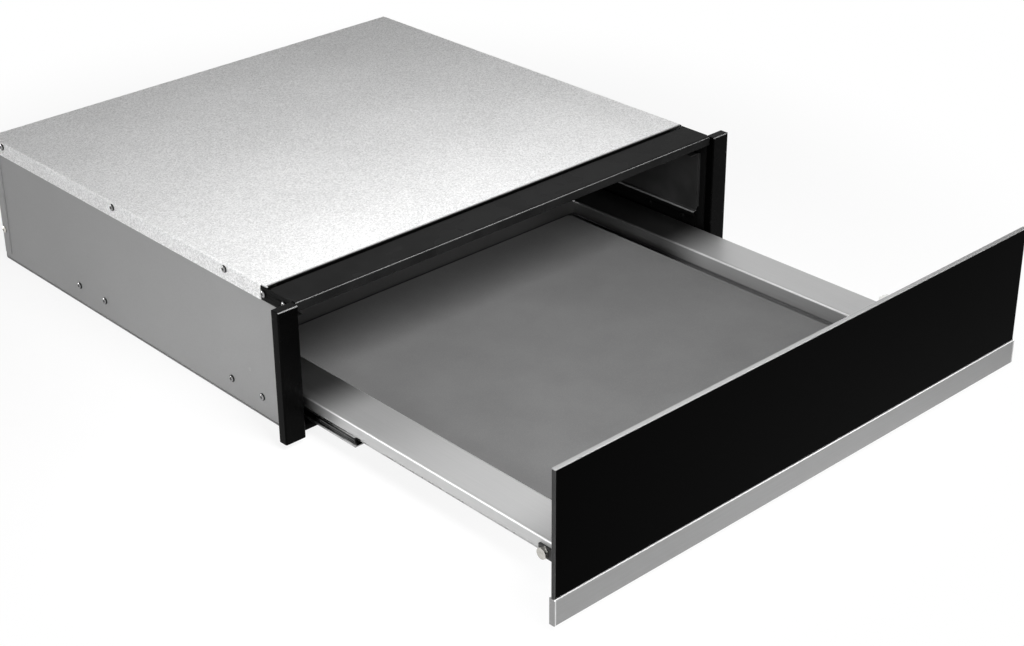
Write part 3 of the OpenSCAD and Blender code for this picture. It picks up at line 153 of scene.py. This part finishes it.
class Finish(Graph):
    """A material with one main shader; fixed values go straight on its sockets."""

    def __init__(self, name, **fixed):
        self.material = bpy.data.materials.new(name)
        self.material.use_nodes = True
        super().__init__(self.material.node_tree)
        self.end = self.tree.nodes.new("ShaderNodeOutputMaterial")
        self.shader = self.tree.nodes.new("ShaderNodeBsdfPrincipled")
        self.tree.links.new(self.shader.outputs[0], self.end.inputs["Surface"])
        self.place = self.node("TexCoord", out="Object")
        self.x, self.y, self.z = (self.axis(name, self.place) for name in "XYZ")
        self.paint(**fixed)

    def paint(self, **sockets):
        """Sets or links the main shader's sockets; an underscore stands for a space."""
        for name, value in sockets.items():
            self.put(self.shader.inputs[name.replace("_", " ")], value)
        return self

    def shown(self):
        """The wire that feeds the base colour so far."""
        return Wire(self, self.shader.inputs["Base Color"].links[0].from_socket)

    def stretched(self, scale):
        """The place on the object, scaled along each axis."""
        return self.node("Mapping", None, {"Vector": self.place, "Scale": scale})

    def noise(self, scale, detail=2, roughness=0.5, at=None):
        return self.node(
            "TexNoise",
            None,
            {"Vector": at or self.place, "Scale": scale, "Detail": detail, "Roughness": roughness},
        )

    def grain(self, scale, detail=2, roughness=0.5):
        """Noise whose scale is given along each axis."""
        return self.noise(1.0, detail, roughness, self.stretched(scale))

    def cells(self, scale, out="Distance"):
        return self.node("TexVoronoi", None, {"Vector": self.place, "Scale": scale}, out)

    def bands(self, direction, scale, distortion=0.0):
        return self.node(
            "TexWave",
            {"bands_direction": direction},
            {"Vector": self.place, "Scale": scale, "Distortion": distortion},
        )

    def mix(self, share, first, second):
        return self.node(
            "Mix", {"data_type": "RGBA"}, {0: share, 6: colour(first), 7: colour(second)}, 2
        )

    def bump(self, height, depth, strength=1.0):
        """Raises the surface by height, from 0 to 1, times depth in metres."""
        return self.paint(
            Normal=self.node("Bump", None, {"Height": height, "Distance": depth, "Strength": strength})
        )


def colour(value):
    """A grey or a colour from 0 to 255 as shown on a screen, in linear light; a Wire stays."""
    if isinstance(value, Wire):
        return value
    channels = value if hasattr(value, "__len__") else (value,) * 3
    return (*((c / 255) ** 2.2 for c in channels), 1)


def scaled(tone, factor):
    """A colour made lighter or darker, never past white."""
    return [min(255, c * factor) for c in tone]


# Metals


def galvanised(name, low, high, speckle, rough, metal, pits=0.0):
    """Hot-dipped steel with fine spangle, and black painted shade inside the case's mouth and on its
    front wings.
    """
    mouth_shade_tone = 12
    f = Finish(name, Specular_IOR_Level=0.15)
    crystal = f.axis("X", f.cells(scale=880, out="Color"))
    fine = f.noise(scale=1700, detail=3, roughness=0.7)
    cloud = f.noise(scale=9, detail=3)
    tone = crystal * 0.45 + fine * 0.55
    share = (tone - 0.5) * speckle + cloud * 0.3 + 0.35
    pitted = f.noise(scale=620, detail=1).over(0.66, 0.76) * pits
    # Painted shade: the side panels' inner faces near the front, and the front wings, are black and
    # not metallic.
    inside = 1 - abs(f.x).over(*SKIN_INSIDE)
    mouth = 1 - f.y.over(CASE_FRONT + 0.03, CASE_FRONT + 0.034)
    wing = 1 - f.y.over(CASE_FRONT + 0.0001, CASE_FRONT + HAIR)
    black = wing.most(inside * mouth)
    shade = f.mix(pitted, f.mix(share, low, high), low * 0.8)
    f.paint(
        Base_Color=f.mix(black, shade, mouth_shade_tone),
        Metallic=metal - black * metal,
        Roughness=tone * 0.18 + rough,
    )
    return f.bump(tone, depth=0.00006, strength=0.6)


def brushed(name, low, high, along, rough, metal=1.0):
    """Brushed sheet metal with a hairline grain along one axis."""
    fine_scale, long_scale = 2200, 14
    f = Finish(name, Anisotropic=0.35)
    scale = [long_scale if axis == along else fine_scale for axis in "xyz"]
    hairs = f.grain(scale, detail=4, roughness=0.65)
    broad = f.grain([s / 5 for s in scale])
    cloud = f.noise(scale=7)
    share = (hairs - 0.5) * 0.7 + (broad - 0.5) * 0.2 + cloud * 0.3 + 0.35
    f.paint(Base_Color=f.mix(share, low, high), Metallic=metal, Roughness=hairs * 0.12 + rough)
    return f.bump(hairs, depth=0.00002, strength=0.4)


def tray_steel():
    """The tray: painted highlights on its folds, painted shade towards the case, and painted shade
    along the mat.
    """
    metal, painted_highlight_tone, rear_shade_tone, painted_shade_tone = 0.5, 248, 50, 30
    f = brushed("stainless_tray", low=160, high=188, along="y", rough=0.3, metal=metal)
    # Painted shade towards the case: the colour darkens and the metal becomes fully metallic there.
    rear = f.y.over(CASE_FRONT - 0.06, CASE_FRONT + 0.01)
    # Painted shade in the crease along the mat's edge, darker towards the bottom.
    mat_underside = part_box("mat")[0].z
    mat_edge_shade = 1 - f.z.over(mat_underside + 0.0008, mat_underside + 0.003)
    # Painted highlights on the rim's folds.
    shade = f.mix(fold_highlights(f), f.shown(), painted_highlight_tone)
    shade = f.mix(rear * 0.5, shade, rear_shade_tone)
    return f.paint(
        Base_Color=f.mix(mat_edge_shade * 0.8, shade, painted_shade_tone),
        Metallic=rear * (1 - metal) + metal,
    )


def fold_highlights(f):
    """The mask of the painted highlights on the two folds along the tray's rim."""
    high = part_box("tray")[1]
    across = abs(f.x)
    top = f.z.over(high.z - 0.002, high.z - 0.0014)
    outer = across.over(high.x - 3 * HAIR, high.x - 1.5 * HAIR)
    inner = 1 - abs(across - (high.x - RIM_WIDTH)).over(0.0011, 0.0016)
    return top * outer.most(inner) * 0.9


def trim_steel():
    """The trim below the glass, with painted highlights on its upper edge and its two ends."""
    painted_highlight_tone = 210
    f = brushed("stainless_trim", low=126, high=150, along="x", rough=0.3, metal=0.85)
    low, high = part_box("front_trim")
    across = abs(f.x)
    # Painted highlights along the upper front edge and the two ends.
    front = 1 - f.y.over(low.y + 3 * HAIR, low.y + 0.0018)
    top = f.z.over(high.z - 0.0009, high.z - 0.0005) * 0.7
    end = across.over(high.x - 4 * HAIR, high.x - 3 * HAIR)
    corner = 1 - across.over(high.x - HAIR, high.x - 0.0001)
    edges = front * top.most(end * corner) * 0.9
    return f.paint(Base_Color=f.mix(edges, f.shown(), painted_highlight_tone))


def plated(name, tone, rough, tint=(1, 1, 1)):
    """Plated or bare bright steel, with faint clouds and handling marks."""
    f = Finish(name, Metallic=1.0)
    cloud = f.noise(scale=60, detail=4, roughness=0.6)
    marks = f.noise(scale=420, roughness=0.8)
    tinted = scaled(tint, tone)
    shade = f.mix(cloud.over(0.3, 0.7), scaled(tinted, 0.86), scaled(tinted, 1.08))
    f.paint(Base_Color=shade, Roughness=cloud * 0.16 + rough)
    return f.bump(marks, depth=0.00002, strength=0.3)


def screw_steel(name, node):
    """A dulled screw with painted shade in its recess and round its rim."""
    painted_shade_tone = 18
    f = plated(name, tone=150, rough=0.12)
    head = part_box(node)[1].x
    # Painted shade: dark except near the part's outermost x, the head's outer face.
    crown = abs(f.x).over(head - 0.0009, head - 0.0003)
    return f.paint(Base_Color=f.mix(crown, painted_shade_tone, f.shown()))


def shaded_race(name, tone, rough, node):
    """Plated runner steel whose ball race, between its two lips, is dark with painted shade."""
    race_shade_tone = 16
    f = plated(name, tone, rough)
    low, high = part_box(node)
    # Painted shade in the ball race's groove, in uneven patches.
    above = f.z.over(low.z + 0.0022, low.z + 0.0028)
    below = 1 - f.z.over(high.z - 3 * HAIR, high.z - 2 * HAIR)
    shade_patches = f.noise(scale=90, detail=3, roughness=0.6) * 0.3 + 0.78
    return f.paint(Base_Color=f.mix(above * below * shade_patches, f.shown(), race_shade_tone))


# Paint, plastic, rubber, glass

BLACK_PLASTIC = (34, 34, 35)


def painted(name, tone, rough, specular, edge_of=None):
    """Powder paint: a fine orange peel, uneven gloss, and a painted highlight on the upper front edge.
    """
    edge_highlight_tone = 140
    f = Finish(name, Specular_IOR_Level=specular)
    peel = f.noise(scale=1100, roughness=0.4)
    cloud = f.noise(scale=26)
    shade = f.mix(cloud.over(0.3, 0.7), tone * 0.88, tone * 1.1)
    if edge_of:
        # Painted highlight along the named part's upper front edge.
        low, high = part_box(edge_of)
        upper = f.z.over(high.z - 0.001, high.z - 0.0006)
        front = 1 - f.y.over(low.y + 0.0006, low.y + 0.001)
        shade = f.mix(upper * front * (f.noise(scale=70) * 0.5 + 0.45), shade, edge_highlight_tone)
    f.paint(Base_Color=shade, Roughness=cloud * 0.1 + rough)
    return f.bump(peel, depth=0.00003, strength=0.35)


def liner_paint():
    """Dark satin enamel, with a painted highlight on the walls' rib, painted shade below it, and bare
    on the screws' tips.
    """
    under_rib_shade_tone, edge_highlight_tone, tip_tone = 17, 118, 152
    f = painted("liner_paint", tone=46, rough=0.4, specular=0.03)
    # Painted shade below the rib, and a painted highlight along its top.
    upper = f.z.over(RIB_TOP - HAIR, RIB_TOP + HAIR)
    rib_highlight = 1 - abs(f.z - RIB_TOP).over(0.0003, 0.0009)
    tip = abs(f.x).over(*SKIN_INSIDE)
    shade = f.mix(rib_highlight * 0.7, f.mix(upper, under_rib_shade_tone, f.shown()), edge_highlight_tone)
    return f.paint(Base_Color=f.mix(tip, shade, tip_tone))


def moulded(name, tone, rough):
    """Moulded plastic with a fine spark-eroded grain."""
    f = Finish(name, Specular_IOR_Level=0.4)
    grit = f.noise(scale=1900, detail=3, roughness=0.7)
    cloud = f.noise(scale=40)
    shade = f.mix(cloud * 0.5 + grit * 0.5, scaled(tone, 0.9), scaled(tone, 1.1))
    f.paint(Base_Color=shade, Roughness=grit * 0.2 + rough)
    return f.bump(grit, depth=0.00004, strength=0.5)


def dial_face():
    """The control housing, with a printed arc of dots round the thermostat's knob."""
    dots_around, ring_gap, printed = 12, 0.0022, 214
    f = moulded("control_housing", tone=BLACK_PLASTIC, rough=0.4)
    low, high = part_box("thermostat_knob")
    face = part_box("control_housing")[1].z
    x = f.x - (low.x + high.x) / 2
    y = f.y - (low.y + high.y) / 2
    ring = (x * x + y * y) ** 0.5 - (high.x - low.x) / 2 - ring_gap
    dots = (x.angle_to(y) * dots_around).cosine().over(0.8, 0.9)
    band = 1 - abs(ring).over(HAIR, 0.0007)
    top = f.z.over(face - HAIR, face - HAIR / 2)
    return f.paint(Base_Color=f.mix(dots * band * top, f.shown(), printed))


def knob_plastic():
    """The thermostat's pale knob, with its raised pointer picked out in black."""
    ink = 24
    f = moulded("knob", tone=(228, 228, 225), rough=0.35)
    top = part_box("thermostat_knob")[1].z
    pointer = f.z.over(top - 0.0003, top - 0.0001)
    return f.paint(Base_Color=f.mix(pointer, f.shown(), ink))


def rubber(name, tone):
    """Matt rubber with a fine leathery grain."""
    f = Finish(name, Specular_IOR_Level=0.25)
    pores = f.cells(scale=1300)
    cloud = f.noise(scale=14, detail=3, roughness=0.6)
    fine = f.noise(scale=2400, roughness=0.7)
    share = cloud * 0.5 + fine * 0.35 + pores * 0.3
    f.paint(Base_Color=f.mix(share, tone * 0.82, tone * 1.18), Roughness=fine * 0.2 + 0.62)
    return f.bump(pores * 0.7 + fine * 0.3, depth=0.00012, strength=0.6)


def black_glass():
    """Back-painted glass, deep black and faintly uneven in its gloss, with grey ground edges."""
    ground_end, ground_top = 58, 140
    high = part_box("front_glass")[1]
    f = Finish("black_glass", Specular_IOR_Level=0.01)
    cloud = f.noise(scale=5)
    top = f.z.over(high.z - 0.0012, high.z - 0.0006)
    end = abs(f.x).over(high.x - 0.0009, high.x - 0.0004)
    face = f.mix(cloud, 1, 4)
    f.paint(
        Base_Color=f.mix(top, f.mix(end, face, ground_end), ground_top),
        Roughness=cloud * 0.05 + 0.04,
    )
    return f.bump(f.noise(scale=18, detail=1), depth=0.00004, strength=0.1)


def wool():
    """Mineral wool: tangled pale fibres, dark at the mat's front end."""
    shadow = 16
    f = Finish("wool", Specular_IOR_Level=0.1)
    bend = f.noise(scale=120, detail=3, roughness=0.6)
    fibre = f.grain((240, 900, 240), detail=5, roughness=0.8)
    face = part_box("insulation_mat")[0].y
    behind = f.y.over(face + 0.004, face + 0.009)
    tangle = fibre * 0.6 + bend * 0.4
    shade = f.mix(tangle, (112, 111, 106), (178, 176, 168))
    f.paint(Base_Color=f.mix(behind, shadow, shade), Roughness=bend * 0.1 + 0.85)
    return f.bump(tangle, depth=0.0012, strength=0.9)


def windings():
    """The motor's laminations and lacquered windings."""
    f = Finish("motor", Metallic=0.5)
    sheets = f.bands("Y", scale=520, distortion=0.4)
    cloud = f.noise(scale=90, detail=3)
    shade = f.mix(sheets * 0.7 + cloud * 0.3, 62, 132)
    f.paint(Base_Color=shade, Roughness=cloud * 0.2 + 0.4)
    return f.bump(sheets, depth=0.0002, strength=0.5)


def lamp_lens():
    """The small amber signal lamp."""
    f = Finish("lamp", Specular_IOR_Level=0.5, Transmission_Weight=0.2)
    ribs = f.bands("X", scale=900)
    f.paint(
        Base_Color=f.mix(ribs, (196, 92, 14), (238, 140, 40)),
        Roughness=ribs * 0.1 + 0.18,
    )
    return f.bump(ribs, depth=0.0002, strength=0.5)


FINISHES = {
    "cover": galvanised(
        "galvanised_cover", low=190, high=255, speckle=1.5, rough=0.42, metal=0.03, pits=0.55
    ),
    "case": galvanised(
        "galvanised_case", low=134, high=158, speckle=0.3, rough=0.5, metal=0.12
    ),
    "black_paint": painted("black_paint", tone=9, rough=0.22, specular=0.03),
    "liner": liner_paint(),
    # Painted light: the beam has the posts' black paint in a lighter tone, so that its top face looks
    # lit.
    "beam": painted("beam_paint", tone=30, rough=0.22, specular=0.018, edge_of="frame_top_beam"),
    "post": painted("post_paint", tone=9, rough=0.22, specular=0.03, edge_of="left_post"),
    "bracket": painted("dark_bracket", tone=44, rough=0.4, specular=0.35),
    "tray": tray_steel(),
    "trim": trim_steel(),
    "runner": plated("runner_steel", tone=178, rough=0.2),
    "race": shaded_race("runner_race", tone=178, rough=0.2, node="left_runner_middle_member"),
    "zinc": plated("zinc", tone=200, rough=0.1, tint=(1, 0.99, 0.96)),
    "aluminium": brushed("aluminium", low=190, high=225, along="z", rough=0.3),
    "heater": plated("heater", tone=112, rough=0.38, tint=(1, 0.9, 0.82)),
    "motor": windings(),
    "glass": black_glass(),
    "mat": rubber("rubber_mat", tone=96),
    "rubber": rubber("rubber", tone=40),
    "black_plastic": moulded("black_plastic", tone=BLACK_PLASTIC, rough=0.4),
    "white_plastic": moulded("white_plastic", tone=(222, 221, 214), rough=0.4),
    "wool": wool(),
    "lamp": lamp_lens(),
    "dial": dial_face(),
    "knob": knob_plastic(),
    "side_screw": screw_steel("side_screw", "side_screws"),
    "cover_screw": screw_steel("cover_screw", "cover_screws"),
    "frame_screw": screw_steel("frame_screw", "frame_screws"),
}

FINISH_BY_SLOT = {
    "galvanised": "case",
    "black_paint": "black_paint",
    "stainless": "tray",
    "runner_steel": "runner",
    "zinc": "zinc",
    "dark_bracket": "bracket",
    "black_glass": "glass",
    "rubber_mat": "mat",
    "rubber": "rubber",
    "black_plastic": "black_plastic",
    "white_plastic": "white_plastic",
    "wool": "wool",
    "heater": "heater",
    "motor": "motor",
    "aluminium": "aluminium",
    "lamp": "lamp",
}

FINISH_BY_NODE = {
    "top_cover": "cover",
    "control_housing": "dial",
    "thermostat_knob": "knob",
    "front_trim": "trim",
    "left_liner_wall": "liner",
    "right_liner_wall": "liner",
    "liner_back": "liner",
    "liner_screws": "liner",
    "side_screws": "side_screw",
    "cover_screws": "cover_screw",
    "frame_screws": "frame_screw",
    "frame_top_beam": "beam",
    "left_post": "post",
    "right_post": "post",
    "left_runner_middle_member": "race",
    "right_runner_middle_member": "race",
}


def finish_nodes():
    """Each node takes the finish of its slot, or its own where it has one."""
    for name, node in nodes.items():
        for slot in node.material_slots:
            key = FINISH_BY_NODE.get(name) or FINISH_BY_SLOT[slot.material.name.split(".")[0]]
            slot.material = FINISHES[key].material


# Rounded edges

EDGE_WIDTHS = {
    "frame_top_beam": 0.0005,
    "left_post": 0.0006,
    "right_post": 0.0006,
    "front_glass": 0.0003,
    "tray": 0.0003,
    "frame_sill": 0.0004,
}
SHARP_ANGLE = 35
WELD_DISTANCE = 0.000002


def soften_edges(name, width):
    """Rounds the node's sharp edges slightly, so that they catch the light."""
    node = nodes[name]
    weld = node.modifiers.new("merge", "WELD")
    weld.merge_threshold = WELD_DISTANCE
    bevel = node.modifiers.new("edges", "BEVEL")
    bevel.width, bevel.segments = width, 2
    bevel.limit_method, bevel.angle_limit = "ANGLE", math.radians(SHARP_ANGLE)
    bevel.use_clamp_overlap = False
    shade = node.modifiers.new("shading", "WEIGHTED_NORMAL")
    shade.weight = 100


# Light, floor and background


def area_lamp(name, place, aim, size, watts, spread=180):
    light = bpy.data.lights.new(name, "AREA")
    light.spread = math.radians(spread)
    light.shape = "RECTANGLE"
    light.size, light.size_y = size
    light.energy = watts
    lamp = bpy.data.objects.new(name, light)
    bpy.context.scene.collection.objects.link(lamp)
    lamp.location = place
    lamp.rotation_euler = (Vector(aim) - Vector(place)).to_track_quat("-Z", "Y").to_euler()


def make_lamps():
    """A narrow key lamp over the front, and low fill lamps around the object; lengths in metres."""
    area_lamp("key", (-0.2, -0.95, 0.95), (-0.12, -0.38, 0.1), (0.6, 0.6), watts=4.3, spread=78)
    area_lamp("left", (-1.1, -1.0, 0.3), (-0.28, -0.25, 0.06), (0.5, 0.4), watts=4.2, spread=120)
    area_lamp("front_right", (0.9, -1.4, 0.5), (0, -0.3, 0.05), (0.6, 0.4), watts=5)
    area_lamp("back", (-0.8, 1.6, 0.16), (0, 0.26, 0.06), (0.8, 0.3), watts=9)
    area_lamp("right", (1.7, -0.4, 0.16), (0.28, 0, 0.06), (0.8, 0.3), watts=8)


def make_floor():
    """A round pale floor that keeps the object's shadow and is plain white further away."""
    near_share, mirror_fall, underneath = 0.86, 0.62, -0.0004
    disc = bmesh.new()
    bmesh.ops.create_circle(disc, cap_ends=True, segments=96, radius=9)
    mesh = bpy.data.meshes.new("floor")
    disc.to_mesh(mesh)
    disc.free()
    floor = bpy.data.objects.new("floor", mesh)
    bpy.context.scene.collection.objects.link(floor)
    floor.location = (0, 0, underneath)
    f = Finish("floor", Roughness=1.0, Specular_IOR_Level=0.0)
    f.paint(Base_Color=f.mix(f.noise(scale=30, detail=3), 244, 250))
    straight, mirrored, through = f.background_rays()
    mirrored = mirrored * (1 - f.x.over(-0.35, 0.4) * mirror_fall)
    seen = straight.most(mirrored.most(through))
    away = f.node("VectorMath", {"operation": "LENGTH"}, {0: f.place}, "Value").over(0.4, 0.8)
    share = seen * (away * (1 - near_share) + near_share)
    glow = f.node("Emission", None, {"Color": 1.0, "Strength": 1.0})
    both = f.node("MixShader", None, {0: share, 1: Wire(f, f.shader.outputs[0]), 2: glow})
    f.tree.links.new(both.socket, f.end.inputs["Surface"])
    mesh.materials.append(f.material)


def make_world(ambient):
    """White where the background is seen, a darker ceiling in mirrors, and a faint even light."""
    ceiling_dark = 0.8
    world = bpy.data.worlds.new("studio")
    bpy.context.scene.world = world
    world.use_nodes = True
    g = Graph(world.node_tree)
    end = g.tree.nodes.new("ShaderNodeOutputWorld")
    straight, mirrored, through = g.background_rays()
    height = g.axis("Z", g.node("TexCoord", out="Generated"))
    ceiling = 1 - height.over(0.55, 0.8) * ceiling_dark
    seen = straight.most(mirrored.most(through) * ceiling)
    sky = g.node("Background", None, {"Color": 1.0, "Strength": seen.most(ambient)})
    g.tree.links.new(sky.socket, end.inputs["Surface"])


make_camera()
finish_nodes()
make_floor()
make_world(ambient=0.1)
for name, width in EDGE_WIDTHS.items():
    soften_edges(name, width)
make_lamps()
bpy.context.scene.view_settings.view_transform = "Standard"
